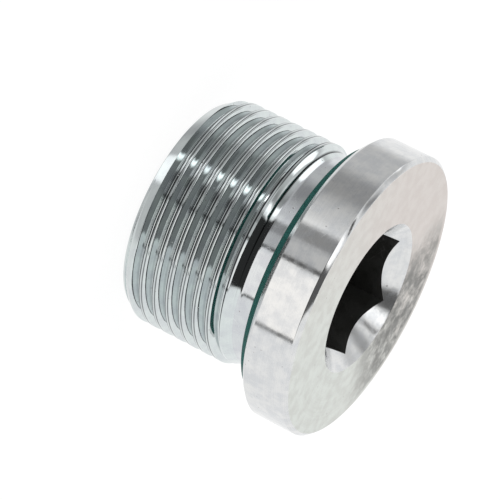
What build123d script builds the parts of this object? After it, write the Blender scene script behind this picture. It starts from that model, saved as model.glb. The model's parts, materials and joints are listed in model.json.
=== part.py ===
from build123d import *

import os
from math import cos, radians, tan

# Hex socket screw plug with a sealing ring held under its head.
#
# The plug is one turned piece: a round head with a broached hexagon socket, a relieved neck
# that carries the seal, a threaded shank and a chamfered tip. The thread is rolled, so it ends
# in a small step above the relief's cone. The seal is a moulded ring that sits round the neck,
# in a groove of the head's underside.
#
# Units are millimetres. The plug stands on the tip of its shank: the origin is the middle of
# the tip face, and +Z runs up the axis to the head. The hexagon has two flats square to X.

# Shank
thread_diameter = 24.0  # outside diameter of the thread
shank_length = 15.9  # from the head's underside to the tip face
tip_chamfer_depth = 1.1  # how far the tip is turned down, on the radius
tip_chamfer_length = 1.6  # the same chamfer, along the axis
tip_edge_radius = 0.3  # rounding between the chamfer and the tip face

# Relief between the thread and the head
thread_rise = 0.5  # how far rolling raised the thread above the turned blank, on the radius
relief_depth = 1.15  # how far the neck lies below the thread, on the radius
relief_cone_angle = 30.0  # lean of the cone that runs down from the blank to the neck
relief_fillet_radius = 0.8  # hollow fillet at the foot of the cone
neck_length = 3.2  # from the head's underside to the foot of the cone

# Head
head_thickness = 5.1
head_land = 1.4  # flat ring outside the seal groove that meets the port's face
head_front_chamfer = 0.4
head_back_chamfer = 0.5

# Hexagon socket
socket_across_flats = 12.1
socket_depth = 7.5
socket_mouth_margin = 0.9  # how far the countersink's mouth clears the hexagon's corners
countersink_angle = 90.0
pilot_undersize = 0.1  # how far the drilled pilot hole lies inside the flats
pilot_extra_depth = 1.0  # how far the pilot hole runs below the hexagon
drill_point_angle = 118.0

# Sealing ring and its groove
seal_width = 2.35  # across the ring's section, on the radius
seal_height = 1.7  # along the axis, at the lip
seal_lip_rise = 0.4  # how much shorter the ring is at the neck than at its lip
seal_edge_chamfer = 0.12  # breaks the ring's two outer rims
groove_depth = 0.7
groove_clearance = 0.15  # between the ring's outside and the groove's wall

# Heights and radii that follow from the sizes above
overall_length = shank_length + head_thickness
thread_radius = thread_diameter / 2
tip_radius = thread_radius - tip_chamfer_depth
blank_radius = thread_radius - thread_rise
neck_radius = thread_radius - relief_depth
neck_foot = shank_length - neck_length
thread_top = neck_foot - (blank_radius - neck_radius) / tan(radians(relief_cone_angle))
seal_radius = neck_radius + seal_width
groove_radius = seal_radius + groove_clearance
groove_floor = shank_length + groove_depth
head_radius = groove_radius + head_land
socket_corner_radius = socket_across_flats / 2 / cos(radians(30))
socket_mouth_radius = socket_corner_radius + socket_mouth_margin
pilot_radius = socket_across_flats / 2 - pilot_undersize
pilot_depth = socket_depth + pilot_extra_depth
drill_point_length = pilot_radius / tan(radians(drill_point_angle / 2))
seal_lip_height = groove_floor - seal_height


def circles_at(part, height):
    """The part's circular edges that lie at one height."""
    return part.edges().filter_by(GeomType.CIRCLE).filter_by_position(Axis.Z, height, height)


# The turned body, cut from bar as one half section carried round the axis
with BuildPart() as plug_body:
    with BuildSketch(Plane.XZ):
        with BuildLine():
            Polyline(
                (0, 0),
                (tip_radius, 0),
                (thread_radius, tip_chamfer_length),
                (thread_radius, thread_top),
                (blank_radius, thread_top),
                (neck_radius, neck_foot),
                (neck_radius, groove_floor),
                (groove_radius, groove_floor),
                (groove_radius, shank_length),
                (head_radius, shank_length),
                (head_radius, overall_length),
                (0, overall_length),
                close=True,
            )
        make_face()
    revolve(axis=Axis.Z)

    # Turned edges: the tip, the foot of the relief and both rims of the head
    fillet(circles_at(plug_body, 0), tip_edge_radius)
    fillet(circles_at(plug_body, neck_foot), relief_fillet_radius)
    chamfer(circles_at(plug_body, shank_length).sort_by(SortBy.RADIUS)[-1], head_back_chamfer)
    chamfer(circles_at(plug_body, overall_length), head_front_chamfer)

    # Pilot hole with its countersunk mouth, and the drill's point below it
    with Locations((0, 0, overall_length)):
        CounterSinkHole(pilot_radius, socket_mouth_radius, pilot_depth, countersink_angle)
    with Locations((0, 0, overall_length - pilot_depth)):
        Cone(
            bottom_radius=0,
            top_radius=pilot_radius,
            height=drill_point_length,
            align=(Align.CENTER, Align.CENTER, Align.MAX),
            mode=Mode.SUBTRACT,
        )

    # Broached hexagon
    with BuildSketch(Plane.XY.offset(overall_length)):
        RegularPolygon(socket_across_flats / 2, 6, major_radius=False, rotation=30)
    extrude(amount=-socket_depth, mode=Mode.SUBTRACT)

# The sealing ring: flat against the groove's floor, tight round the neck, and taller at its
# outer lip, which stands out of the groove
with BuildPart() as seal_ring:
    with BuildSketch(Plane.XZ):
        with BuildLine():
            Polyline(
                (neck_radius, groove_floor),
                (seal_radius, groove_floor),
                (seal_radius, seal_lip_height),
                (neck_radius, seal_lip_height + seal_lip_rise),
                close=True,
            )
        make_face()
    revolve(axis=Axis.Z)
    chamfer(circles_at(seal_ring, seal_lip_height), seal_edge_chamfer)
    chamfer(circles_at(seal_ring, groove_floor).sort_by(SortBy.RADIUS)[-1], seal_edge_chamfer)

plug_body.part.label = "plug_body"
seal_ring.part.label = "seal_ring"

os.makedirs("parts", exist_ok=True)
for piece in (plug_body.part, seal_ring.part):
    export_step(piece, f"parts/{piece.label}.step")
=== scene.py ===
"""Looks of a hex socket screw plug.

The plug is one turned and zinc plated piece: a threaded shank, a relieved neck and a round head
with a countersunk hexagon socket. A green rubber ring sits in a groove under the head. Every
length is in metres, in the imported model's frame: the plug stands on the tip of its shank, and +Z
runs up its axis to the head.
"""

import json
import logging
from collections.abc import Sequence
from dataclasses import dataclass
from enum import IntEnum
from functools import cached_property, reduce
from math import cos, pi, radians, sin, tan

import bmesh
import bpy
import numpy as np
from mathutils import Matrix, Vector


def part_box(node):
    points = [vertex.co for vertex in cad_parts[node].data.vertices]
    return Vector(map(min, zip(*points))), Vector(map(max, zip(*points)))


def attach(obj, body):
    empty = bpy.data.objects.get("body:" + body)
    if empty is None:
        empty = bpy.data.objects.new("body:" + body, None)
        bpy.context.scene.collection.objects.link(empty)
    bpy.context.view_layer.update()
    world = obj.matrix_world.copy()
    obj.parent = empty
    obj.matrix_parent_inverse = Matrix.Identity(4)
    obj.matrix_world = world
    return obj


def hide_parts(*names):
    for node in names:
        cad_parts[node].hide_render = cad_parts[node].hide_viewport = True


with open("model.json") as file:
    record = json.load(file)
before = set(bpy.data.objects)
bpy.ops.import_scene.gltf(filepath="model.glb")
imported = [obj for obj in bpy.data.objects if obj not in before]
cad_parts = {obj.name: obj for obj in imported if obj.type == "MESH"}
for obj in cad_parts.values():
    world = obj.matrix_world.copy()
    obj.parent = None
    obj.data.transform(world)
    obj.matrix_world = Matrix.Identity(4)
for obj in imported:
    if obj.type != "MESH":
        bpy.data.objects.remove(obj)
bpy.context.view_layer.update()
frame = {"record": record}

Colour = tuple[float, float, float, float]
Socket = bpy.types.NodeSocket
Value = Socket | float | Sequence[float]
Outputs = bpy.types.NodeOutputs

MM = 1e-3
LOG = logging.getLogger("screw_plug")

# Faces in a row round the axis, and the angles of their columns
COLUMNS = 240
COLUMN_ANGLES = np.linspace(0, 2 * pi, COLUMNS + 1)

# Points closer than this are one point, and a crease is sharp from this angle
MERGE_DISTANCE = 1e-4 * MM
SHARP_ANGLE = radians(35)

# Halvings that find where the thread cuts its blank
HALVINGS = 40

# The seal groove's wall clears the ring by this much
GROOVE_CLEARANCE = 0.15 * MM

BLACK = (0.0, 0.0, 0.0, 1.0)
WHITE = (1.0, 1.0, 1.0, 1.0)


# ---- Surfaces on grids ----


@dataclass(frozen=True)
class Corner:
    """A corner of a turned outline.

    Attributes:
        radius: distance from the axis.
        height: place along the axis.
        rounding: radius of the arc that rounds the corner, or 0 for a sharp one.
        steps: rows of faces along that arc.
    """

    radius: float
    height: float
    rounding: float = 0.0
    steps: int = 3

    @property
    def point(self) -> np.ndarray:
        """The corner as (radius, height)."""
        return np.array((self.radius, self.height))


def unit(vector: np.ndarray) -> np.ndarray:
    """The vector over its length."""
    return vector / np.linalg.norm(vector)


def rounded_outline(corners: Sequence[Corner]) -> np.ndarray:
    """Rounds the inner corners of an outline with arcs tangent to both runs.

    An arc of radius q in a corner of opening angle p leaves each run q / tan(p / 2) from the
    corner, and its points are the even turns from the first radius to the last.

    Args:
        corners: the outline's corners, in order.

    Returns:
        Points as rows of (radius, height).
    """
    points = [corners[0].point[None]]
    for before, here, after in zip(corners, corners[1:], corners[2:]):
        if not here.rounding:
            points.append(here.point[None])
            continue
        back, ahead = unit(before.point - here.point), unit(after.point - here.point)
        opening = np.arccos(np.dot(back, ahead))
        centre = here.point + unit(back + ahead) * here.rounding / sin(opening / 2)
        reach = here.rounding / tan(opening / 2)
        first = here.point + back * reach - centre
        last = here.point + ahead * reach - centre
        turn = pi - opening
        share = np.linspace(0, 1, here.steps + 1)[:, None]
        spokes = np.sin((1 - share) * turn) * first + np.sin(share * turn) * last
        points.append(centre + spokes / sin(turn))
    points.append(corners[-1].point[None])
    return np.concatenate(points)


def carried_round(radii: np.ndarray, heights: np.ndarray, angles: np.ndarray) -> np.ndarray:
    """Places points on a turned surface: x = r cos a, y = r sin a, z = height.

    Args:
        radii: one radius per row, or one per row and column.
        heights: heights in the same form.
        angles: the columns' angles about the axis.

    Returns:
        Points in the form (rows, columns, 3).
    """
    radii = np.reshape(radii, (len(radii), -1))
    heights = np.reshape(heights, (len(heights), -1))
    x, y, z = np.broadcast_arrays(radii * np.cos(angles), radii * np.sin(angles), heights)
    return np.stack([x, y, z], axis=-1)


def grid_object(name: str, grid: np.ndarray, finishes: np.ndarray) -> bpy.types.Object:
    """Makes a closed object from a grid of points.

    Each cell of the grid becomes a four-sided face. Points that fall together are merged, which
    closes the seam and the poles and drops the cells where rows have run into each other.

    Args:
        name: the object's name.
        grid: points in the form (rows, columns, 3), with columns running round +Z.
        finishes: the material number of each row of faces.

    Returns:
        The object, shaded smooth, with creases kept sharp.
    """
    rows, columns = grid.shape[:2]
    number = np.arange(rows * columns).reshape(rows, columns)
    faces = np.stack([number[:-1, :-1], number[:-1, 1:], number[1:, 1:], number[1:, :-1]], axis=-1)
    faces = faces.reshape(-1, 4)
    mesh = bpy.data.meshes.new(name)
    mesh.vertices.add(rows * columns)
    mesh.vertices.foreach_set("co", grid.reshape(-1))
    mesh.loops.add(faces.size)
    mesh.loops.foreach_set("vertex_index", faces.reshape(-1))
    mesh.polygons.add(len(faces))
    mesh.polygons.foreach_set("loop_start", np.arange(0, faces.size, 4))
    mesh.polygons.foreach_set("material_index", np.repeat(finishes, columns - 1))
    mesh.update(calc_edges=True)

    shell = bmesh.new()
    shell.from_mesh(mesh)
    bmesh.ops.remove_doubles(shell, verts=shell.verts, dist=MERGE_DISTANCE)
    shell.to_mesh(mesh)
    shell.free()
    mesh.shade_smooth()
    mesh.set_sharp_from_angle(angle=SHARP_ANGLE)
    piece = bpy.data.objects.new(name, mesh)
    bpy.context.scene.collection.objects.link(piece)
    weighted = piece.modifiers.new("face_weighted_normals", "WEIGHTED_NORMAL")
    weighted.keep_sharp = True
    return piece


# ---- Node wiring ----


class Wiring:
    """Adds nodes to a node tree and links them."""

    # Places of a Mix node's sockets for colours
    MIX_INPUTS = (0, 6, 7)
    MIX_RESULT = 2

    def __init__(self, tree: bpy.types.NodeTree) -> None:
        """Keeps the tree that the nodes go into."""
        self.tree = tree

    @property
    def point(self) -> Socket:
        """Where a point lies in its piece's own frame."""
        return self.node("TexCoord").outputs["Object"]

    def node(self, kind: str, options: dict | None = None, **inputs: Value) -> bpy.types.Node:
        """Adds a node.

        Args:
            kind: the node's type, without its "ShaderNode" prefix.
            options: the node's own properties.
            inputs: values or sockets for its inputs, by name, with _ for a space.

        Returns:
            The node.
        """
        made = self.tree.nodes.new(kind if kind.startswith("Node") else "ShaderNode" + kind)
        for key, value in (options or {}).items():
            setattr(made, key, value)
        self.feed_all(made.inputs, inputs)
        return made

    def feed(self, socket: Socket, value: Value) -> None:
        """Links a socket to another one, or gives it a plain value.

        Args:
            socket: the input to feed.
            value: the socket or value that it takes.
        """
        if isinstance(value, Socket):
            self.tree.links.new(value, socket)
        else:
            socket.default_value = value

    def feed_all(self, sockets: bpy.types.NodeInputs, values: dict[str, Value]) -> None:
        """Feeds sockets by name, with _ for a space."""
        for key, value in values.items():
            self.feed(sockets[key.replace("_", " ")], value)

    def placed(self, group: bpy.types.NodeTree, label: str = "", **inputs: Value) -> Outputs:
        """Places a node group, feeds its inputs and gives its outputs."""
        return self.node("Group", {"node_tree": group, "label": label}, **inputs).outputs

    def maths(self, operation: str, *values: Value, clamp: bool = False) -> Socket:
        """Adds a Math node.

        Args:
            operation: what it works out.
            values: sockets or numbers for its inputs, in order.
            clamp: whether the result is kept between 0 and 1.

        Returns:
            Its output.
        """
        made = self.node("Math", {"operation": operation, "use_clamp": clamp})
        for socket, value in zip(made.inputs, values):
            self.feed(socket, value)
        return made.outputs[0]

    def product(self, *values: Value) -> Socket:
        """Multiplies sockets or numbers, from the first to the last."""
        return reduce(lambda so_far, value: self.maths("MULTIPLY", so_far, value), values)

    def vector(self, operation: str, *values: Value, output: str = "Vector") -> Socket:
        """Adds a Vector Math node.

        Args:
            operation: what it works out.
            values: sockets or triples for its inputs, in order.
            output: the output to give, "Vector" or "Value".

        Returns:
            That output.
        """
        made = self.node("VectorMath", {"operation": operation})
        for socket, value in zip(made.inputs, values):
            self.feed(socket, value)
        return made.outputs[output]

    def joined(self, x: Value, y: Value) -> Socket:
        """Makes a vector of two sockets or numbers, and 0."""
        return self.node("CombineXYZ", X=x, Y=y).outputs[0]

    def split(self, vector: Socket) -> Outputs:
        """Takes a vector apart into X, Y and Z."""
        return self.node("SeparateXYZ", Vector=vector).outputs

    def azimuth(self, vector: Socket) -> Socket:
        """A vector's angle about +Z, from the +X side."""
        parts = self.split(vector)
        return self.maths("ARCTAN2", parts["Y"], parts["X"])

    def noise(self, spot: Socket, scale: Value, detail: float, roughness: float = 0.5) -> Socket:
        """Adds soft noise.

        Args:
            spot: where the noise is read.
            scale: how many of its hills fit in one unit.
            detail: how many times finer hills are laid on it.
            roughness: how high the finer hills are.

        Returns:
            The noise, around 0.5.
        """
        options = {"Detail": detail, "Roughness": roughness}
        return self.node("TexNoise", Vector=spot, Scale=scale, **options).outputs[0]

    def blended(self, share: Value, first: Value, second: Value) -> Socket:
        """Mixes two colours.

        Args:
            share: how much of the second shows, from 0 to 1.
            first: the colour where the share is 0.
            second: the colour where it is 1.

        Returns:
            The mixed colour.
        """
        made = self.node("Mix", {"data_type": "RGBA"})
        for number, value in zip(self.MIX_INPUTS, (share, first, second)):
            self.feed(made.inputs[number], value)
        return made.outputs[self.MIX_RESULT]

    def ranged(
        self, value: Socket, low: Value, high: Value, start: float = 0.0, end: float = 1.0
    ) -> Socket:
        """Spreads a stretch of a value smoothly over another one.

        Args:
            value: the value.
            low: where the stretch begins, which may be above its end.
            high: where it ends.
            start: the result at and before its beginning.
            end: the result at and past its end.

        Returns:
            The result.
        """
        ends = {"From_Min": low, "From_Max": high, "To_Min": start, "To_Max": end}
        made = self.node("MapRange", {"interpolation_type": "SMOOTHSTEP"}, Value=value, **ends)
        return made.outputs["Result"]


class GroupWiring(Wiring):
    """The wiring of a new node group with named inputs and outputs."""

    KINDS = {float: "NodeSocketFloat", tuple: "NodeSocketColor", Vector: "NodeSocketVector"}

    def __init__(self, name: str, inputs: dict[str, Value], outputs: dict[str, type]) -> None:
        """Makes the group.

        Args:
            name: the group's name.
            inputs: each input's name and value, whose type gives the socket's kind.
            outputs: each output's name and type.
        """
        super().__init__(bpy.data.node_groups.new(name, "ShaderNodeTree"))
        for label, value in inputs.items():
            socket = self.tree.interface.new_socket(
                label, in_out="INPUT", socket_type=self.KINDS[type(value)]
            )
            socket.default_value = value
        for label, kind in outputs.items():
            self.tree.interface.new_socket(label, in_out="OUTPUT", socket_type=self.KINDS[kind])
        self.given = self.node("NodeGroupInput").outputs
        self.result = self.node("NodeGroupOutput").inputs

    def give(self, label: str, value: Socket) -> None:
        """Links a socket to one of the group's outputs."""
        self.feed(self.result[label], value)


class MaterialWiring(Wiring):
    """The wiring of a new material, round its Principled shader."""

    def __init__(self, name: str) -> None:
        """Makes the material.

        Args:
            name: the material's name.
        """
        self.material = bpy.data.materials.new(name)
        self.material.use_nodes = True
        super().__init__(self.material.node_tree)
        self.shader = self.tree.nodes["Principled BSDF"].inputs

    def paint(self, **inputs: Value) -> None:
        """Feeds the shader's inputs, by name, with _ for a space."""
        self.feed_all(self.shader, inputs)

    def emboss(self, height: Socket) -> None:
        """Bends the shader's normal as bumps of this height would."""
        bump = self.node("Bump", Height=height, Distance=1.0)
        self.paint(Normal=bump.outputs["Normal"])


# ---- Finishes ----


class SharedEffects:
    """Node groups that more than one finish places, each built once."""

    @cached_property
    def place(self) -> bpy.types.NodeTree:
        """Where a point lies: its distance from the axis, its height and its direction around.

        Returns:
            The group.
        """
        outputs = {"Radius": float, "Height": float, "Around": Vector}
        wiring = GroupWiring("place_on_the_lathe", {}, outputs)
        point = wiring.point
        level = wiring.vector("MULTIPLY", point, (1, 1, 0))
        wiring.give("Radius", wiring.vector("LENGTH", level, output="Value"))
        wiring.give("Height", wiring.split(point)["Z"])
        wiring.give("Around", wiring.vector("NORMALIZE", level))
        return wiring.tree

    @cached_property
    def tool_marks(self) -> bpy.types.NodeTree:
        """Rings that a turning tool leaves.

        Noise is read at the radius and the height over the rings' spacing. The direction around
        adds a little to it, so that the rings drift slowly.

        Returns:
            The group.
        """
        wiring = GroupWiring("tool_marks", {"Spacing": 1.0, "Drift": 1.0}, {"Height": float})
        given, place = wiring.given, wiring.placed(self.place)
        across = wiring.maths("DIVIDE", place["Radius"], given["Spacing"])
        along = wiring.maths("DIVIDE", place["Height"], given["Spacing"])
        around = wiring.vector("SCALE", place["Around"])
        wiring.feed(around.node.inputs["Scale"], given["Drift"])
        spot = wiring.vector("ADD", wiring.joined(across, along), around)
        wiring.give("Height", wiring.noise(spot, scale=1.0, detail=2.0, roughness=0.6))
        return wiring.tree

    @cached_property
    def patches(self) -> bpy.types.NodeTree:
        """Soft patches of one size: the middle levels of noise spread over 0 to 1.

        Returns:
            The group.
        """
        low, high = 0.33, 0.67
        wiring = GroupWiring("plating_patches", {"Size": 1.0}, {"Mask": float})
        point, scale = wiring.point, wiring.maths("DIVIDE", 1.0, wiring.given["Size"])
        noise = wiring.noise(point, scale, detail=4.0, roughness=0.6)
        wiring.give("Mask", wiring.ranged(noise, low, high))
        return wiring.tree

    @cached_property
    def pits(self) -> bpy.types.NodeTree:
        """Round pits in a share of evenly scattered cells, as wide as their part of a cell.

        Returns:
            The group.
        """
        inputs = {"Cell": 1.0, "Share": 0.1, "Width": 0.2}
        wiring = GroupWiring("pits", inputs, {"Mask": float})
        given, point = wiring.given, wiring.point
        scale = wiring.maths("DIVIDE", 1.0, given["Cell"])
        cells = wiring.node("TexVoronoi", Vector=point, Scale=scale).outputs
        chance = wiring.node("SeparateColor", Color=cells["Color"]).outputs["Red"]
        chosen = wiring.maths("LESS_THAN", chance, given["Share"])
        near = wiring.ranged(cells["Distance"], given["Width"], 0.0)
        wiring.give("Mask", wiring.product(chosen, near))
        return wiring.tree

    @cached_property
    def scratches(self) -> bpy.types.NodeTree:
        """Pieces of the thin borders between bent cells, kept where a second noise is high.

        Returns:
            The group.
        """
        fade = 0.1
        inputs = {"Length": 1.0, "Width": 0.02, "Amount": 0.5}
        wiring = GroupWiring("scratches", inputs, {"Mask": float})
        given, point = wiring.given, wiring.point
        scale = wiring.maths("DIVIDE", 1.0, given["Length"])
        borders = {"feature": "DISTANCE_TO_EDGE"}
        edge = wiring.node("TexVoronoi", borders, Vector=point, Scale=scale).outputs["Distance"]
        line = wiring.ranged(edge, given["Width"], 0.0)
        barely = wiring.maths("SUBTRACT", 1.0, given["Amount"])
        noise = wiring.noise(point, scale, detail=3.0)
        kept = wiring.ranged(noise, barely, wiring.maths("ADD", barely, fade))
        wiring.give("Mask", wiring.product(line, kept))
        return wiring.tree


@dataclass(frozen=True)
class SteelFinish:
    """Bright zinc plating over steel, with the marks of one way of working it.

    Attributes:
        name: the material's name.
        colour: the plating's colour.
        tint: its colour in patches.
        patch_size: size of those patches.
        gloss: roughness of the bright patches.
        dullness: roughness of the dull ones.
        ring_spacing: distance between tool marks.
        ring_drift: how much the marks vary around.
        ring_depth: depth of the marks.
        ring_shade: how much darker the marks' hollows look.
        ring_levels: levels of the marks from which the shade begins and is full.
        ripple_depth: height of the shallow ripples that bend reflections a little.
        pit_cell: size of the cells that may have a pit.
        pit_share: share of those cells that has one.
        pit_depth: depth of a pit.
        pit_colour: colour in a pit.
        scratch_length: length of the scratches.
        scratch_amount: share of the surface on which scratches show.
        scratch_shade: how much a scratch lightens the surface.
        scratch_colour: colour that it lightens it towards.
        scratch_dullness: how much rougher it is.
    """

    name: str
    colour: Colour = (0.76, 0.765, 0.76, 1)
    tint: Colour = (0.66, 0.675, 0.69, 1)
    patch_size: float = 1.3 * MM
    gloss: float = 0.06
    dullness: float = 0.12
    ring_spacing: float = 0.09 * MM
    ring_drift: float = 0.6
    ring_depth: float = 0.00025 * MM
    ring_shade: float = 0.035
    ring_levels: tuple[float, float] = (0.6, 0.4)
    ripple_depth: float = 0.0015 * MM
    pit_cell: float = 0.5 * MM
    pit_share: float = 0.07
    pit_depth: float = 0.01 * MM
    pit_colour: Colour = (0.25, 0.2, 0.2, 1)
    scratch_length: float = 1.5 * MM
    scratch_amount: float = 0.42
    scratch_shade: float = 0.25
    scratch_colour: Colour = (0.95, 0.95, 0.95, 1)
    scratch_dullness: float = 0.1

    def shaded(self, wiring: Wiring, place: Outputs, colour: Socket) -> Socket:
        """Adds what only one finish has to the colour. Plain steel has nothing more."""
        return colour

    def build(self, shared: SharedEffects) -> bpy.types.Material:
        """Makes the material.

        Args:
            shared: the node groups to place.

        Returns:
            The material.
        """
        wiring = MaterialWiring(self.name)
        place = wiring.placed(shared.place)
        patch = wiring.placed(shared.patches, Size=self.patch_size)["Mask"]
        ring_sizes = {"Spacing": self.ring_spacing, "Drift": self.ring_drift}
        rings = wiring.placed(shared.tool_marks, **ring_sizes)["Height"]
        pits = wiring.placed(shared.pits, Cell=self.pit_cell, Share=self.pit_share)["Mask"]
        scratch_sizes = {"Length": self.scratch_length, "Amount": self.scratch_amount}
        scratches = wiring.placed(shared.scratches, **scratch_sizes)["Mask"]

        colour = wiring.blended(patch, self.colour, self.tint)
        hollows = wiring.ranged(rings, *self.ring_levels, end=self.ring_shade)
        colour = wiring.blended(hollows, colour, BLACK)
        lines = wiring.product(scratches, self.scratch_shade)
        colour = wiring.blended(lines, colour, self.scratch_colour)
        colour = wiring.blended(pits, colour, self.pit_colour)
        dull = wiring.ranged(patch, 0.0, 1.0, start=self.gloss, end=self.dullness)
        dull = wiring.maths("MULTIPLY_ADD", scratches, self.scratch_dullness, dull)
        wiring.paint(Base_Color=self.shaded(wiring, place, colour), Metallic=1.0, Roughness=dull)
        height = wiring.product(patch, self.ripple_depth)
        height = wiring.maths("MULTIPLY_ADD", rings, self.ring_depth, height)
        wiring.emboss(wiring.maths("MULTIPLY_ADD", pits, -self.pit_depth, height))
        return wiring.material


@dataclass(frozen=True)
class Stripe:
    """A painted shade that follows the thread, in shares of the pitch above a crest's middle.

    Attributes:
        place: where its middle lies.
        half_width: distance from the middle at which it ends.
        full: distance from the middle up to which it is full.
        shade: how dark it is.
    """

    place: float
    half_width: float
    full: float
    shade: float


@dataclass(frozen=True, kw_only=True)
class RolledFinish(SteelFinish):
    """The thread's finish, with painted shade in its crests' seam and on the flanks that look down.

    Attributes:
        first_crest: height of a crest's middle on the +X side.
        pitch: distance from crest to crest.
        thread_start: height at which the full thread begins, above the tip's chamfer.
        thread_end: height at which its painted shades end and the relief's cone begins.
        groove_end: height up to which the root cuts into that cone and its painted line runs.
        seam: the painted shade in the seam.
        flank: the painted shade and painted dark reflection on the flank that looks down.
        root: the painted shade on one side of the root.
        groove: the painted dark line that the root draws on the cone.
        fade: height over which one shade gives way to the next.
        painted_shade: colour of the painted shade at its darkest.
    """

    first_crest: float
    pitch: float
    thread_start: float
    thread_end: float
    groove_end: float
    seam: Stripe = Stripe(place=0.0, half_width=0.075, full=0.0, shade=0.8)
    flank: Stripe = Stripe(place=0.815, half_width=0.07, full=0.035, shade=0.97)
    root: Stripe = Stripe(place=0.47, half_width=0.1, full=0.05, shade=0.22)
    groove: Stripe = Stripe(place=0.46, half_width=0.09, full=0.0, shade=0.97)
    fade: float = 0.05 * MM
    painted_shade: Colour = (0.02, 0.02, 0.025, 1)

    def shaded(self, wiring: Wiring, place: Outputs, colour: Socket) -> Socket:
        """Paints shade on the seam, flank and root, and the groove as a dark line on the cone.

        The phase is the height above a crest's middle over the pitch, less the turns around.

        Args:
            wiring: the material's wiring.
            place: where the point lies on the lathe.
            colour: the plating's colour.

        Returns:
            The darkened colour.
        """
        above = wiring.maths("SUBTRACT", place["Height"], self.first_crest)
        turns = wiring.maths("DIVIDE", wiring.azimuth(place["Around"]), 2 * pi)
        pitches = wiring.maths("DIVIDE", above, self.pitch)
        phase = wiring.maths("FRACT", wiring.maths("SUBTRACT", pitches, turns))

        def striped(stripe: Stripe) -> Socket:
            """A stripe's shade, from the distance between the phase and its place."""
            away = wiring.maths("PINGPONG", wiring.maths("SUBTRACT", phase, stripe.place), 0.5)
            return wiring.ranged(away, stripe.half_width, stripe.full, end=stripe.shade)

        rolled = wiring.ranged(place["Height"], self.thread_end + self.fade, self.thread_end)
        begun = wiring.ranged(place["Height"], self.thread_start - self.fade, self.thread_start)
        grooved = wiring.ranged(place["Height"], self.groove_end, self.groove_end - self.fade)
        # Painted shade on the seam, the downward flank and the root, and a dark line on the cone.
        shade = wiring.maths("MAXIMUM", striped(self.seam), striped(self.flank))
        shade = wiring.maths("MAXIMUM", shade, striped(self.root))
        on_thread = wiring.product(shade, rolled, begun)
        cone = wiring.maths("SUBTRACT", grooved, rolled, clamp=True)
        on_cone = wiring.product(striped(self.groove), cone)
        dark = wiring.maths("MAXIMUM", on_thread, on_cone)
        return wiring.blended(dark, colour, self.painted_shade)


@dataclass(frozen=True)
class FacedFinish(SteelFinish):
    """The head's satin face, darker on one side with rub marks and a painted dark reflection.

    Attributes:
        rub_and_reflection_colour: colour of the rub marks and painted dark reflection.
        rub_and_reflection_azimuth: direction of that darker side.
        rub_and_reflection_spread: angles from there at which it ends and is full.
        rub_and_reflection_radii: radii between which it fades towards the edge.
        rub_and_reflection_grain: size of the blotches that it breaks up into.
        rub_and_reflection_levels: levels of the blotches' noise from which they begin and are full.
        warm: the plating's warmer colour on one side.
        warm_azimuth: direction of the warmer side.
        warm_share: how far the warmer colour goes there.
    """

    rub_and_reflection_colour: Colour = (0.2, 0.2, 0.19, 1)
    rub_and_reflection_azimuth: float = radians(88)
    rub_and_reflection_spread: tuple[float, float] = (radians(58), radians(4))
    rub_and_reflection_radii: tuple[float, float] = (14.2 * MM, 13.6 * MM)
    rub_and_reflection_grain: float = 1.9 * MM
    rub_and_reflection_levels: tuple[float, float] = (0.27, 0.6)
    warm: Colour = (0.7, 0.635, 0.605, 1)
    warm_azimuth: float = radians(165)
    warm_share: float = 0.8

    def shaded(self, wiring: Wiring, place: Outputs, colour: Socket) -> Socket:
        """Warms one side of the plating and lays the darker side over it.

        The cosine of the angle between a point's direction and a side's azimuth is 1 on that side
        and -1 opposite it. The share of the darker colour, rub marks with a painted dark
        reflection, falls off with it, and noise breaks that up into blotches.

        Args:
            wiring: the material's wiring.
            place: where the point lies on the lathe.
            colour: the plating's colour.

        Returns:
            The face's colour.
        """

        def facing(azimuth: float) -> Socket:
            """The cosine of the angle between a point's direction and an azimuth."""
            side = (cos(azimuth), sin(azimuth), 0)
            return wiring.vector("DOT_PRODUCT", place["Around"], side, output="Value")

        warmed = wiring.ranged(facing(self.warm_azimuth), -1.0, 1.0, end=self.warm_share)
        colour = wiring.blended(warmed, colour, self.warm)
        # Painted dark reflection, with rub marks, on one side of the face.
        side = wiring.ranged(facing(self.rub_and_reflection_azimuth), *map(cos, self.rub_and_reflection_spread))
        inside = wiring.ranged(place["Radius"], *self.rub_and_reflection_radii)
        noise = wiring.noise(wiring.point, 1 / self.rub_and_reflection_grain, detail=6.0, roughness=0.75)
        rub_and_reflection_blotches = wiring.ranged(noise, *self.rub_and_reflection_levels)
        return wiring.blended(wiring.product(side, inside, rub_and_reflection_blotches), colour, self.rub_and_reflection_colour)


@dataclass(frozen=True)
class RubberFinish:
    """The ring's green rubber, with a faint grain and paler dust.

    Attributes:
        name: the material's name.
        colour: the rubber's colour.
        dusty: its colour under dust.
        dust_size: size of the dusty patches.
        roughness: roughness of clean rubber.
        dusty_roughness: roughness under dust.
        grain: size of the grain.
        grain_depth: depth of the grain.
    """

    name: str
    colour: Colour = (0.02, 0.19, 0.16, 1)
    dusty: Colour = (0.042, 0.24, 0.21, 1)
    dust_size: float = 1.2 * MM
    roughness: float = 0.42
    dusty_roughness: float = 0.6
    grain: float = 0.06 * MM
    grain_depth: float = 0.004 * MM

    def build(self, shared: SharedEffects) -> bpy.types.Material:
        """Makes the material.

        Args:
            shared: the node groups to place.

        Returns:
            The material.
        """
        wiring = MaterialWiring(self.name)
        patch = wiring.placed(shared.patches, Size=self.dust_size)["Mask"]
        grain = wiring.placed(shared.patches, Size=self.grain)["Mask"]
        dull = wiring.ranged(patch, 0.0, 1.0, start=self.roughness, end=self.dusty_roughness)
        wiring.paint(Base_Color=wiring.blended(patch, self.colour, self.dusty), Roughness=dull)
        wiring.emboss(wiring.product(grain, self.grain_depth))
        return wiring.material


# ---- Plug body ----


class Finish(IntEnum):
    """The plug body's finishes, numbered as its material slots."""

    THREAD = 0
    TURNED = 1
    FACED = 2
    COUNTERSUNK = 3
    BROACHED = 4
    RELIEVED = 5


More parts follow.
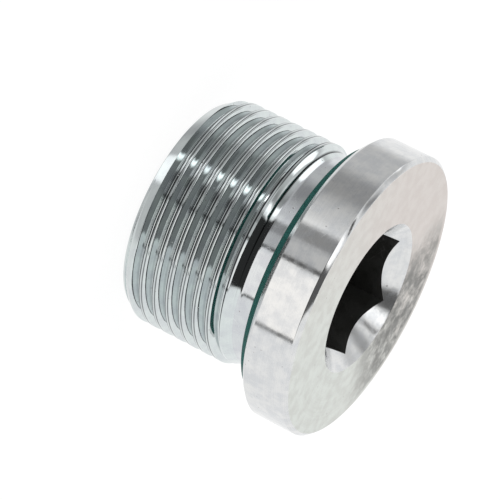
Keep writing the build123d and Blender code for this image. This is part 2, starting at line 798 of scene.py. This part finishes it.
@dataclass(frozen=True)
class ScrewThread:
    """A right-handed metric thread form, rolled so that its crests stay a little short.

    Rolling pushes the metal up from both flanks. It meets in the middle of the crest and leaves a
    fine seam there, with a rounded ridge on each side.

    Attributes:
        blank_radius: outside radius of the full form.
        pitch: distance from crest to crest.
        first_crest: height of a crest's middle on the +X side.
        crest_shortfall: how far the rolled crest stays below the full form.
        crest_half_width: half the width of the crest, which the ridges widen.
        crest_rounding: radius that breaks both edges of the crest.
        crown_radius: radius of the slight crown of the ridges.
        runout_start: height of the crest from which it loses height towards the relief.
        runout_end: height of the crest at which it has lost all it loses.
        runout_drop: how much lower it is from there on.
        seam_half_width: half the width of the seam in the crest.
        seam_depth: depth of the seam.
        root_rounding: radius of the hollow at the root.
        root_margin: how far below the root the rows of the thread begin and end.
        flank_lean: angle between a flank and a plane square to the axis.
        steps: rows of faces in each half of the seam, ridge, edge, flank and root.
    """

    blank_radius: float
    pitch: float = 1.5 * MM
    first_crest: float = 1.44 * MM
    crest_shortfall: float = 0.13 * MM
    crest_half_width: float = 0.28 * MM
    crest_rounding: float = 0.09 * MM
    crown_radius: float = 0.8 * MM
    runout_start: float = 11.1 * MM
    runout_end: float = 11.5 * MM
    runout_drop: float = 0.38 * MM
    seam_half_width: float = 0.13 * MM
    seam_depth: float = 0.06 * MM
    root_rounding: float = 0.07 * MM
    root_margin: float = 0.03 * MM
    flank_lean: float = radians(30)
    steps: tuple[int, ...] = (2, 1, 2, 1, 2)

    @property
    def crest_radius(self) -> float:
        """Radius of the rolled crest."""
        return self.blank_radius - self.crest_shortfall

    @property
    def edges(self) -> tuple[float, float, float]:
        """Distances from the crest's middle at which the next parts of the form begin.

        Returns:
            Those of the crest's edge, the flank and the root.
        """
        edge = self.crest_half_width - self.crest_rounding * tan((pi / 2 - self.flank_lean) / 2)
        flank = edge + self.crest_rounding * cos(self.flank_lean)
        return edge, flank, self.pitch / 2 - self.root_rounding * cos(self.flank_lean)

    @property
    def root_centre(self) -> float:
        """Radius of the centre of the root's arc, which is tangent to both flanks."""
        reach = (self.pitch / 2 - self.crest_half_width) / tan(self.flank_lean)
        return self.crest_radius - reach + self.root_rounding / sin(self.flank_lean)

    @property
    def rows_radius(self) -> float:
        """Radius of the turned blank where the rows of the thread begin and end."""
        return self.root_centre - self.root_rounding - self.root_margin

    def radius_at(self, heights: np.ndarray, angles: np.ndarray) -> np.ndarray:
        """The form's radius where the distance to the nearest crest has these places.

        A crest's middle climbs one pitch in a full turn. Out from it come the seam, which is half
        a wave of a cosine, the crowned ridge, an arc, the straight flank and the root's arc. Where
        the crest runs out, it is cut off lower, by an amount that grows smoothly along the helix.

        Args:
            heights: heights, in the form (rows, columns).
            angles: the columns' angles.

        Returns:
            Radii in the form (rows, columns).
        """
        turns = (heights - self.first_crest) / self.pitch - angles / (2 * pi)
        above = self.pitch * (turns - np.round(turns))
        away = np.abs(above)
        edge, flank, root = self.edges
        on_edge = np.clip(away - edge, 0, self.crest_rounding)
        arc = np.sqrt(self.crest_rounding**2 - on_edge**2)
        crest = self.crest_radius - self.crest_rounding + arc
        in_seam = np.clip(away / self.seam_half_width, 0, 1)
        crest = crest - self.seam_depth * (1 + np.cos(pi * in_seam)) / 2
        rounded = np.clip(away - self.seam_half_width, 0, flank - self.seam_half_width)
        crown = rounded**2 / (2 * self.crown_radius)
        slope = self.crest_radius - (away - self.crest_half_width) / tan(self.flank_lean)
        in_root = np.clip(self.pitch / 2 - away, 0, self.root_rounding)
        hollow = self.root_centre - np.sqrt(self.root_rounding**2 - in_root**2)
        form = np.select([away < flank, away < root], [crest, slope], hollow) - crown
        runout = self.runout_end - self.runout_start
        lost = np.clip((heights - above - self.runout_start) / runout, 0, 1)
        cut = self.crest_radius - self.runout_drop * lost**2 * (3 - 2 * lost)
        return np.minimum(form, cut)

    def grid(
        self, blank: np.ndarray, low: float, high: float, angles: np.ndarray
    ) -> tuple[np.ndarray, np.ndarray]:
        """Rows that follow the helix and end where the blank is smaller than the thread.

        Each band of the form, such as one flank, has a middle row. Where the band cuts through
        the blank, that row moves to the cut, so that the edge left there is clean. The blank's own
        corners give level rows, and each column's heights are sorted, so that both kinds of row
        keep their edges. The radius is the smaller one of the form's and the blank's.

        Args:
            blank: outline of the turned blank, with heights that only rise.
            low: height at which the rows start.
            high: height at which they end.
            angles: the columns' angles, from 0 to a full turn.

        Returns:
            Radii and heights, each in the form (rows, columns).
        """

        def blank_at(heights: np.ndarray) -> np.ndarray:
            """The blank's radius at these heights."""
            return np.interp(heights, blank[:, 1], blank[:, 0])

        def proud(heights: np.ndarray) -> np.ndarray:
            """How far the form stands out of the blank."""
            return self.radius_at(heights, angles) - blank_at(heights)

        rise = self.pitch * angles / (2 * pi)
        half = np.array([0, self.seam_half_width, *self.edges])
        one_pitch = np.concatenate([half, [self.pitch / 2], self.pitch - half[:0:-1]])
        first = np.floor((low - self.first_crest) / self.pitch) - 1
        last = np.ceil((high - self.first_crest) / self.pitch) + 1
        crests = self.first_crest + self.pitch * np.arange(first, last)
        bands = (crests[:, None] + one_pitch).reshape(-1, 1) + rise
        start, end = bands[:-1].copy(), bands[1:].copy()
        begins_proud = proud(start) > 0
        is_cut = begins_proud != (proud(end) > 0)
        for _ in range(HALVINGS):
            middle = (start + end) / 2
            same = (proud(middle) > 0) == begins_proud
            start = np.where(is_cut & same, middle, start)
            end = np.where(is_cut & ~same, middle, end)

        knots = np.empty((2 * len(bands) - 1, len(angles)))
        knots[0::2], knots[1::2] = bands, (start + end) / 2
        steps = np.repeat(self.steps + self.steps[::-1], 2)
        steps = np.tile(steps, len(crests))[: len(knots) - 1]
        part = np.repeat(np.arange(len(steps)), steps)
        share = (np.arange(len(part)) - np.repeat(np.cumsum(steps) - steps, steps)) / steps[part]
        heights = knots[part] + share[:, None] * (knots[part + 1] - knots[part])
        heights = np.clip(heights, low, high)
        needed = (heights.max(axis=1) > low) & (heights.min(axis=1) < high)
        needed = needed | np.roll(needed, 1) | np.roll(needed, -1)
        corners = blank[(blank[:, 1] > low) & (blank[:, 1] < high), 1]
        level = np.repeat(corners[:, None], len(angles), axis=1)
        heights = np.sort(np.concatenate([heights[needed], level]), axis=0)
        return np.minimum(self.radius_at(heights, angles), blank_at(heights)), heights


@dataclass(frozen=True)
class HexagonSocket:
    """A broached hexagon with a countersunk mouth and a drilled pilot hole below it.

    Attributes:
        across_flats: width of the hexagon.
        depth: depth of the hexagon below the head's face.
        mouth_margin: how far the countersink's mouth clears the hexagon's corners.
        mouth_rounding: radius that breaks the mouth's edge.
        pilot_undersize: how far the pilot hole lies inside the flats.
        pilot_extra_depth: how far the pilot hole runs below the hexagon.
        drill_point_angle: full angle of the drill's point.
        side_angle: angle that one flat spans.
        steps: rows of faces down the cone, the flats, their floor, the pilot hole and its point.
    """

    across_flats: float = 12.1 * MM
    depth: float = 7.5 * MM
    mouth_margin: float = 0.9 * MM
    mouth_rounding: float = 0.12 * MM
    pilot_undersize: float = 0.1 * MM
    pilot_extra_depth: float = 1.0 * MM
    drill_point_angle: float = radians(118)
    side_angle: float = pi / 3
    steps: tuple[int, ...] = (8, 8, 1, 2, 6)

    @property
    def mouth_radius(self) -> float:
        """Radius of the countersink at the head's face."""
        return self.across_flats / 2 / cos(self.side_angle / 2) + self.mouth_margin

    def hexagon(self, angles: np.ndarray) -> np.ndarray:
        """The hexagon's radius: half its width over the cosine of the turn from a flat's middle."""
        half = self.side_angle / 2
        return self.across_flats / 2 / np.cos((angles + half) % self.side_angle - half)

    def grid(
        self, start: np.ndarray, face: float, angles: np.ndarray
    ) -> tuple[np.ndarray, np.ndarray, list[Finish]]:
        """Rows from the mouth's edge down the cone, the flats, the pilot hole and its point.

        The cone leans 45 degrees, so it has gone as deep as its radius has shrunk, and it meets
        the flats in six arcs.

        Args:
            start: radius and height at which the mouth's rounding ends.
            face: height of the head's face.
            angles: the columns' angles.

        Returns:
            Radii, heights and the finish of each row.
        """
        hexagon = self.hexagon(angles)
        pilot = self.across_flats / 2 - self.pilot_undersize
        floor = face - self.depth
        pilot_floor = floor - self.pilot_extra_depth
        knots = [
            (start[0], start[1]),
            (hexagon, face - (self.mouth_radius - hexagon)),
            (hexagon, floor),
            (pilot, floor),
            (pilot, pilot_floor),
            (0.0, pilot_floor - pilot / tan(self.drill_point_angle / 2)),
        ]
        whole = np.ones_like(angles)
        knots = [(radius * whole, height * whole) for radius, height in knots]
        finishes = (Finish.COUNTERSUNK, *[Finish.BROACHED] * 4)
        radii, heights, rows = [], [], []
        for (r0, z0), (r1, z1), count, finish in zip(knots, knots[1:], self.steps, finishes):
            share = np.linspace(0, 1, count + 1)[1:, None]
            radii.append(r0 + share * (r1 - r0))
            heights.append(z0 + share * (z1 - z0))
            rows += [finish] * count
        return np.concatenate(radii), np.concatenate(heights), rows


@dataclass(frozen=True)
class PlugBody:
    """The turned, threaded and plated body, which stands for its CAD node.

    Attributes:
        length: height of the head's face above the tip.
        head_radius: outside radius of the head.
        underside: height of the head's underside.
        groove_radius: radius of the seal groove's wall.
        groove_floor: height of the seal groove's floor.
        thread: the thread's form.
        socket: the hexagon socket.
        tip_chamfer_depth: how far the tip is turned down, on the radius.
        tip_chamfer_length: the same chamfer, along the axis.
        tip_edge_radius: rounding between the chamfer and the tip face.
        thread_rise: how far rolling raised the thread above its blank, on the radius.
        step_top: how far before the relief's cone the thread's steep last step begins.
        step_foot: how far above the blank that step meets the cone, on the radius.
        step_rounding: radius that breaks the step's edges.
        relief_depth: how far the neck lies below the thread, on the radius.
        relief_cone_angle: lean of the cone that runs down from the blank to the neck.
        relief_fillet_radius: hollow fillet at the foot of the cone.
        neck_length: from the head's underside to the foot of the cone.
        front_chamfer: chamfer at the head's face.
        back_chamfer: chamfer at the head's underside.
        edge_break: radius that softens the turned edges.
        shade_end: how far before the relief's cone the thread's painted shades end.
        groove_end: how far before the cone's foot the painted line of the thread's root on it ends.
    """

    length: float
    head_radius: float
    underside: float
    groove_radius: float
    groove_floor: float
    thread: ScrewThread
    socket: HexagonSocket
    tip_chamfer_depth: float = 1.1 * MM
    tip_chamfer_length: float = 1.6 * MM
    tip_edge_radius: float = 0.3 * MM
    thread_rise: float = 0.5 * MM
    step_top: float = 0.29 * MM
    step_foot: float = 0.12 * MM
    step_rounding: float = 0.03 * MM
    relief_depth: float = 1.15 * MM
    relief_cone_angle: float = radians(30)
    relief_fillet_radius: float = 0.8 * MM
    neck_length: float = 3.2 * MM
    front_chamfer: float = 0.4 * MM
    back_chamfer: float = 0.5 * MM
    edge_break: float = 0.07 * MM
    shade_end: float = 0.15 * MM
    groove_end: float = 0.4 * MM

    @property
    def neck_radius(self) -> float:
        """Radius of the neck."""
        return self.thread.blank_radius - self.relief_depth

    @property
    def relief_foot(self) -> float:
        """Height at which the relief's cone reaches the neck."""
        return self.underside - self.neck_length

    @property
    def thread_top(self) -> float:
        """Height at which the thread ends and the relief's cone begins."""
        cone_depth = self.relief_depth - self.thread_rise
        return self.relief_foot - cone_depth / tan(self.relief_cone_angle)

    def shank(self) -> np.ndarray:
        """The turned shank before its thread is rolled: tip, chamfer, blank, relief and neck.

        Returns:
            Its outline, from the tip's middle to the seal groove's floor.
        """
        crest = self.thread.blank_radius
        foot_radius = crest - self.thread_rise + self.step_foot
        foot_height = self.thread_top - self.step_foot / tan(self.relief_cone_angle)
        return rounded_outline(
            [
                Corner(0, 0),
                Corner(crest - self.tip_chamfer_depth, 0, self.tip_edge_radius, steps=8),
                Corner(crest, self.tip_chamfer_length, self.edge_break, steps=2),
                Corner(crest, self.thread_top - self.step_top, self.step_rounding, steps=2),
                Corner(foot_radius, foot_height, self.step_rounding, steps=2),
                Corner(self.neck_radius, self.relief_foot, self.relief_fillet_radius, steps=10),
                Corner(self.neck_radius, self.groove_floor),
            ]
        )

    def head(self) -> np.ndarray:
        """The head, from the seal groove's floor to the rounded edge of the socket's mouth.

        The last corner, the countersink's own point, only gives that edge its direction.

        Returns:
            Its outline.
        """
        soft, rim, mouth = self.edge_break, self.head_radius, self.socket.mouth_radius
        outline = rounded_outline(
            [
                Corner(self.neck_radius, self.groove_floor),
                Corner(self.groove_radius, self.groove_floor),
                Corner(self.groove_radius, self.underside, soft),
                Corner(rim - self.back_chamfer, self.underside, soft),
                Corner(rim, self.underside + self.back_chamfer, soft),
                Corner(rim, self.length - self.front_chamfer, soft),
                Corner(rim - self.front_chamfer, self.length, soft),
                Corner(mouth, self.length, self.socket.mouth_rounding, steps=4),
                Corner(0, self.length - mouth),
            ]
        )
        return outline[:-1]

    def build(self) -> bpy.types.Object:
        """Makes the body's mesh as one closed grid, from the tip's middle to the drill point.

        Returns:
            The body.
        """
        shank, head = self.shank(), self.head()
        rising = shank[1:][np.diff(shank[:, 1]) > 0]
        widest = int(np.argmax(shank[:, 0]))
        run_in = np.interp(self.thread.rows_radius, *shank[1 : widest + 1].T)
        run_out = np.interp(self.thread.rows_radius, *shank[widest:][::-1].T)
        thread = self.thread.grid(rising, run_in, run_out, COLUMN_ANGLES)
        tip, neck = shank[shank[:, 1] < run_in], shank[shank[:, 1] > run_out]
        *socket, socket_finishes = self.socket.grid(head[-1], self.length, COLUMN_ANGLES)
        parts = (tip.T, thread, neck.T, head[1:].T, socket)
        grid = np.concatenate([carried_round(*part, COLUMN_ANGLES) for part in parts])
        rim = int(np.argmax(head[:, 1] > self.length - MERGE_DISTANCE))
        order = (Finish.TURNED, Finish.THREAD, Finish.RELIEVED, Finish.TURNED, Finish.FACED)
        counts = (1, len(tip) - 1 + len(thread[0]), len(neck) - 1, rim, len(head) - 1 - rim)
        finishes = np.concatenate([np.repeat(order, counts), socket_finishes])
        return grid_object("plug_body_turned", grid, finishes)

    def dress(self, piece: bpy.types.Object, shared: SharedEffects) -> None:
        """Gives the body its materials, in the order of their slots.

        Args:
            piece: the body.
            shared: the node groups that the materials place.
        """
        finishes = {
            Finish.THREAD: RolledFinish(
                name="rolled_thread",
                colour=(0.69, 0.745, 0.74, 1),
                tint=(0.63, 0.67, 0.685, 1),
                gloss=0.04,
                dullness=0.09,
                ring_depth=0.0001 * MM,
                first_crest=self.thread.first_crest,
                pitch=self.thread.pitch,
                thread_start=self.tip_chamfer_length,
                thread_end=self.thread_top - self.shade_end,
                groove_end=self.relief_foot - self.groove_end,
            ),
            Finish.TURNED: SteelFinish("turned_steel"),
            Finish.FACED: FacedFinish(
                "satin_face",
                colour=(0.714, 0.747, 0.709, 1),
                tint=(0.673, 0.689, 0.656, 1),
                gloss=0.35,
                dullness=0.45,
                ring_depth=0.002 * MM,
            ),
            Finish.COUNTERSUNK: SteelFinish("countersunk_steel", gloss=0.13, dullness=0.2),
            # The socket's walls are painted dark: painted shade of the deep socket.
            Finish.BROACHED: SteelFinish(
                "broached_steel",
                colour=(0.24, 0.24, 0.23, 1),
                tint=(0.16, 0.16, 0.155, 1),
                gloss=0.3,
                dullness=0.42,
            ),
            # Darker than the turned steel: painted shade of the recess under the head.
            Finish.RELIEVED: SteelFinish(
                "relieved_neck",
                colour=(0.66, 0.69, 0.70, 1),
                tint=(0.60, 0.62, 0.65, 1),
                scratch_amount=0.55,
            ),
        }
        for finish in Finish:
            piece.data.materials.append(finishes[finish].build(shared))


# ---- Seal ring ----


@dataclass(frozen=True)
class SealRing:
    """The moulded rubber ring under the head, which stands for its CAD node.

    Attributes:
        inner_radius: radius of the neck that it sits on.
        outer_radius: radius of its lip.
        lip: height of its lowest edge.
        top: height of the groove's floor.
        lip_rise: how much higher its underside is at the neck than at the lip.
        edge_radius: rounding of its outer edges.
    """

    inner_radius: float
    outer_radius: float
    lip: float
    top: float
    lip_rise: float = 0.4 * MM
    edge_radius: float = 0.14 * MM

    def build(self) -> bpy.types.Object:
        """Makes the ring's mesh: its section carried round the axis.

        Returns:
            The ring.
        """
        inner = [Corner(self.inner_radius, z) for z in (self.lip + self.lip_rise, self.top)]
        section = rounded_outline(
            [
                inner[0],
                Corner(self.outer_radius, self.lip, self.edge_radius, steps=6),
                Corner(self.outer_radius, self.top, self.edge_radius, steps=4),
                inner[1],
                inner[0],
            ]
        )
        grid = carried_round(*section.T, COLUMN_ANGLES)
        return grid_object("seal_ring_moulded", grid, np.zeros(len(grid) - 1, int))

    def dress(self, piece: bpy.types.Object, shared: SharedEffects) -> None:
        """Gives the ring its rubber."""
        piece.data.materials.append(RubberFinish("green_rubber").build(shared))


# ---- Studio ----


@dataclass(frozen=True)
class StudioCamera:
    """A long lens that looks down on the head from the -Y side, turned on its own axis.

    Attributes:
        azimuth: angle of the view about the plug's axis, from the -Y side.
        elevation: angle of the view above the horizontal.
        roll: how far the camera is turned about its own line of sight.
        lens: focal length in millimetres.
        sensor: width of the sensor in millimetres.
        reach: nearest and farthest distances that it sees.
        picture_side: pixels along each side of the picture.
        head_place: pixel at which the middle of the head's face falls.
        head_pixels: pixels that the head's radius takes at that depth.
    """

    azimuth: float = radians(-3.8)
    elevation: float = radians(20.05)
    roll: float = radians(117.0)
    lens: float = 261.83
    sensor: float = 36.0
    reach: tuple[float, float] = (0.01, 50.0)
    picture_side: int = 500
    head_place: tuple[float, float] = (369.42, 298.65)
    head_pixels: float = 154.77

    def build(self, head_middle: Vector, head_radius: float) -> None:
        """Makes the camera.

        Args:
            head_middle: middle of the head's face.
            head_radius: the head's radius.
        """
        level = Vector((cos(self.azimuth), sin(self.azimuth), 0))
        back = Vector(
            (
                sin(self.azimuth) * cos(self.elevation),
                -cos(self.azimuth) * cos(self.elevation),
                sin(self.elevation),
            )
        )
        rolled = Matrix.Rotation(self.roll, 3, back)
        right, up = rolled @ level, rolled @ back.cross(level)
        focal_pixels = self.lens / self.sensor * self.picture_side
        distance = head_radius * focal_pixels / self.head_pixels
        metres_per_pixel = head_radius / self.head_pixels
        across, down = (
            (place - self.picture_side / 2) * metres_per_pixel for place in self.head_place
        )
        place = head_middle - right * across + up * down + back * distance
        lens = bpy.data.cameras.new("studio_camera")
        lens.lens, lens.sensor_width = self.lens, self.sensor
        lens.clip_start, lens.clip_end = self.reach
        camera = bpy.data.objects.new("studio_camera", lens)
        turned = Matrix((right, up, back)).transposed()
        camera.matrix_world = Matrix.Translation(place) @ turned.to_4x4()
        bpy.context.scene.collection.objects.link(camera)
        bpy.context.scene.camera = camera


@dataclass(frozen=True)
class Card:
    """A soft-edged card or lamp of the studio, far off and seen only as light.

    Attributes:
        name: what it is.
        azimuth: its middle's angle in degrees about the plug's axis, from the +X side.
        elevation: its middle's angle above the horizontal.
        half_width: half its width in azimuth.
        half_height: half its height in elevation.
        softness: how far its edges fade on either side.
        light: light that it sends, where 1 is white.
        warmth: how much redder than blue that light is.
    """

    name: str
    azimuth: float
    elevation: float
    half_width: float
    half_height: float
    softness: float
    light: float
    warmth: float = 0.0

    @property
    def colour(self) -> Colour:
        """The light as a colour."""
        return (self.light * (1 + self.warmth), self.light, self.light * (1 - self.warmth), 1)


@dataclass(frozen=True)
class Studio:
    """A white tent with grey and bright cards in front of its walls.

    Attributes:
        cards: the cards, later ones over earlier ones.
    """

    cards: tuple[Card, ...] = (
        Card("low_wall", 0, -58, 180, 34, 3, 0.9),
        Card("nadir", 0, -86, 180, 21, 5, 0.64),
        Card("nadir_side", 140, -62, 26, 13, 10, 0.42),
        Card("far_left", -176, -19, 46, 60, 8, 0.62),
        Card("nadir_lamp", 156, -79, 28, 7, 1.5, 1.4),
        Card("back_low", 172, -43, 17, 10, 5, 0.8),
        Card("left_shade", -163, -40, 14, 40, 9, 0.36),
        Card("left_low", -155, -40, 18, 15, 4, 0.2),
        Card("left_high", -146, 34, 8, 20, 16, 0.27),
        Card("back_lamp", 165, 20, 20, 10, 3, 1.6),
        Card("zenith", 0, 90, 180, 14, 4, 0.12),
        Card("zenith_back", 171, 52, 14, 6, 6, 0.3),
        Card("top_gap", -161, 62, 4.5, 6, 2, 0.08),
        Card("camera_top", -82, 66, 40, 18, 6, 0.12),
        Card("camera_side", -80, 28, 41, 30, 2.5, 0.03),
        Card("front_low", -90, -40, 42, 17, 2, 0.28),
        Card("front_card", -63, -6, 24.5, 16, 1.5, 1.16, 0.02),
        Card("front_grey", -100, -8, 8, 14, 1.5, 0.6),
        Card("front_shade", -115, -8, 7, 14, 3, 0.3),
        Card("card_gap", -93, -8, 1.8, 14, 1.5, 0.12),
        Card("card_seam", -38, -8, 1.7, 14, 1.2, 0.22),
        Card("strip_glow", -133, -3, 7, 16, 6, 0.75),
        Card("strip_low", -137, -40, 3.2, 17, 2.5, 2.4),
        Card("strip_high", -131, 38, 5, 20, 3, 1.6),
        Card("strip_top", -126, 67, 20, 8, 6, 1.6),
    )

    def card_group(self) -> bpy.types.NodeTree:
        """Makes the group that lays one card over the light behind it.

        A place is an azimuth and an elevation. Its distance to the card's middle, less half the
        card's size, is below zero inside, and the shares across and up are multiplied.

        Returns:
            The group.
        """
        half_turn = (180.0, 180.0, 180.0)
        sizes = {"Place": Vector(), "Middle": Vector(), "Half Size": Vector(), "Softness": 1.0}
        colours = {"Behind": BLACK, "Card": BLACK}
        wiring = GroupWiring("studio_card", sizes | colours, {"Light": tuple})
        given = wiring.given
        away = wiring.vector("SUBTRACT", given["Place"], given["Middle"])
        away = wiring.vector("WRAP", away, half_turn, tuple(-angle for angle in half_turn))
        away = wiring.vector("SUBTRACT", wiring.vector("ABSOLUTE", away), given["Half Size"])
        parts = wiring.split(away)
        inward = wiring.maths("MULTIPLY", given["Softness"], -1.0)
        inside = wiring.product(*(wiring.ranged(parts[a], given["Softness"], inward) for a in "XY"))
        wiring.give("Light", wiring.blended(inside, given["Behind"], given["Card"]))
        return wiring.tree

    def build(self) -> None:
        """Makes the world. The camera sees plain white, and everything else is lit by the cards."""
        world = bpy.data.worlds.new("studio")
        world.use_nodes = True
        wiring = Wiring(world.node_tree)
        direction = wiring.node("TexCoord").outputs["Generated"]
        azimuth = wiring.maths("DEGREES", wiring.azimuth(direction))
        elevation = wiring.maths("DEGREES", wiring.maths("ARCSINE", wiring.split(direction)["Z"]))
        place, group, light = wiring.joined(azimuth, elevation), self.card_group(), WHITE
        for card in self.cards:
            laid = wiring.placed(
                group,
                label=card.name,
                Place=place,
                Middle=(card.azimuth, card.elevation, 0),
                Half_Size=(card.half_width, card.half_height, 0),
                Softness=card.softness,
                Behind=light,
                Card=card.colour,
            )
            light = laid["Light"]
        seen = wiring.node("LightPath").outputs["Is Camera Ray"]
        background = world.node_tree.nodes["Background"]
        wiring.feed(background.inputs["Color"], wiring.blended(seen, light, WHITE))
        bpy.context.scene.world = world


@dataclass(frozen=True)
class Floor:
    """A plain pale floor under the tip, which keeps the plug's shadow.

    Attributes:
        side: length of its sides.
        glow: its own light for the camera, where 1 is white.
        paint: share of the studio's light that it scatters on top of that.
    """

    side: float = 3.0
    glow: float = 0.9
    paint: float = 0.2

    def build(self) -> None:
        """Makes the floor and links it into the scene.

        Metal doesn't mirror the floor. It mirrors the studio's lower cards in the floor's place.
        """
        mesh = bpy.data.meshes.new("floor")
        half = self.side / 2
        corners = [(-half, -half, 0), (half, -half, 0), (half, half, 0), (-half, half, 0)]
        mesh.from_pydata(corners, [], [(0, 1, 2, 3)])
        floor = bpy.data.objects.new("floor", mesh)
        bpy.context.scene.collection.objects.link(floor)
        floor.visible_glossy = False
        wiring = MaterialWiring("pale_floor")
        seen = wiring.node("LightPath").outputs["Is Camera Ray"]
        wiring.paint(Base_Color=(self.paint, self.paint, self.paint, 1), Roughness=1.0)
        wiring.paint(Specular_IOR_Level=0.0, Emission_Color=WHITE)
        wiring.paint(Emission_Strength=wiring.product(seen, self.glow))
        mesh.materials.append(wiring.material)


# ---- Assembly ----


def mount(name: str) -> dict:
    """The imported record's mount of that name."""
    return next(m for m in frame["record"]["mounts"] if m["name"] == name)


def main() -> None:
    """Builds the plug, its seal and the studio, in that order."""
    logging.basicConfig(level=logging.INFO, format="%(name)s: %(message)s")
    body_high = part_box("plug_body")[1]
    seal_low, seal_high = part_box("seal_ring")
    body = PlugBody(
        length=body_high.z,
        head_radius=body_high.x,
        underside=mount("sealing_face")["pos_m"][2],
        groove_radius=seal_high.x + GROOVE_CLEARANCE,
        groove_floor=seal_high.z,
        thread=ScrewThread(blank_radius=mount("port_thread")["dims"]["r_mm"] * MM),
        socket=HexagonSocket(),
    )
    ring = SealRing(
        inner_radius=body.neck_radius, outer_radius=seal_high.x, lip=seal_low.z, top=seal_high.z
    )
    shared = SharedEffects()
    for part, node, slot in (
        (body, "plug_body", "zinc_plated_steel"),
        (ring, "seal_ring", "seal_rubber"),
    ):
        piece = part.build()
        part.dress(piece, shared)
        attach(piece, "root")
        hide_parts(node)
        LOG.info("%s: %d faces", piece.name, len(piece.data.polygons))
    Floor().build()
    Studio().build()
    StudioCamera().build(Vector((0, 0, body.length)), body.head_radius)
    bpy.context.scene.view_settings.view_transform = "Standard"


if __name__ == "__main__":
    main()
